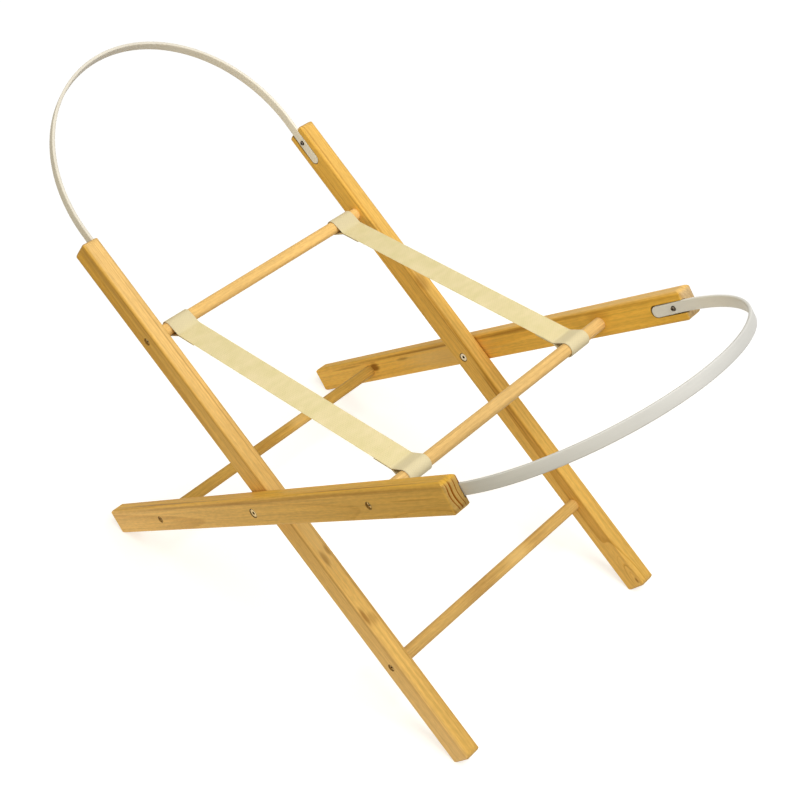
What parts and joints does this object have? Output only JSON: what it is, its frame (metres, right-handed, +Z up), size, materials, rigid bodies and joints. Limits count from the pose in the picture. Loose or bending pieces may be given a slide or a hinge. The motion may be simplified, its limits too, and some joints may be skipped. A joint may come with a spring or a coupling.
{
  "type": "moses basket stand",
  "caption": "Folding varnished-pine stand for a moses basket: crossing leg frames on pivot bolts, webbing straps that carry the basket, and a strip hoop at each end.",
  "frame": {"origin": "on the floor, in the middle of the open stand's overall length and width", "axes": "+X along the stand's length, towards the end where the outer frame's top stands; +Y across it, parallel to the pivot axis; +Z up"},
  "size_m": [0.9528, 0.445, 0.622],
  "materials": {
    "pine": "satin honey varnish on planed pine",
    "dowel_pine": "satin honey varnish on a turned dowel",
    "webbing": "plain woven cream webbing",
    "hoop_plastic": "smooth ivory strip with a soft gloss",
    "brass_screw": "yellow-passivated wood screw",
    "plated_steel": "bright plated steel"
  },
  "bodies": {
    "outer_frame": {"outer_leg_near": "pine", "outer_leg_far": "pine", "outer_upper_dowel": "dowel_pine", "outer_lower_dowel": "dowel_pine", "strap_near": "webbing", "strap_far": "webbing", "outer_hoop": "hoop_plastic", "outer_upper_screws": "brass_screw", "outer_lower_screws": "brass_screw", "outer_hoop_screws": "plated_steel", "pivot_bolt_near": "plated_steel", "pivot_bolt_far": "plated_steel", "sleeve_nut_near": "plated_steel", "sleeve_nut_far": "plated_steel", "pivot_washer_near": "plated_steel", "pivot_washer_far": "plated_steel"},
    "inner_frame": {"inner_leg_near": "pine", "inner_leg_far": "pine", "inner_upper_dowel": "dowel_pine", "inner_lower_dowel": "dowel_pine", "inner_hoop": "hoop_plastic", "inner_upper_screws": "brass_screw", "inner_lower_screws": "brass_screw", "inner_hoop_screws": "plated_steel"}
  },
  "joints": [
    {"name": "fold", "type": "hinge", "parent": "outer_frame", "child": "inner_frame", "pos_m": [0.00549, 0, 0.25089], "axis": [0, 1, 0], "range_deg": [0, 99], "deforming": ["strap_near", "strap_far"]}
  ]
}
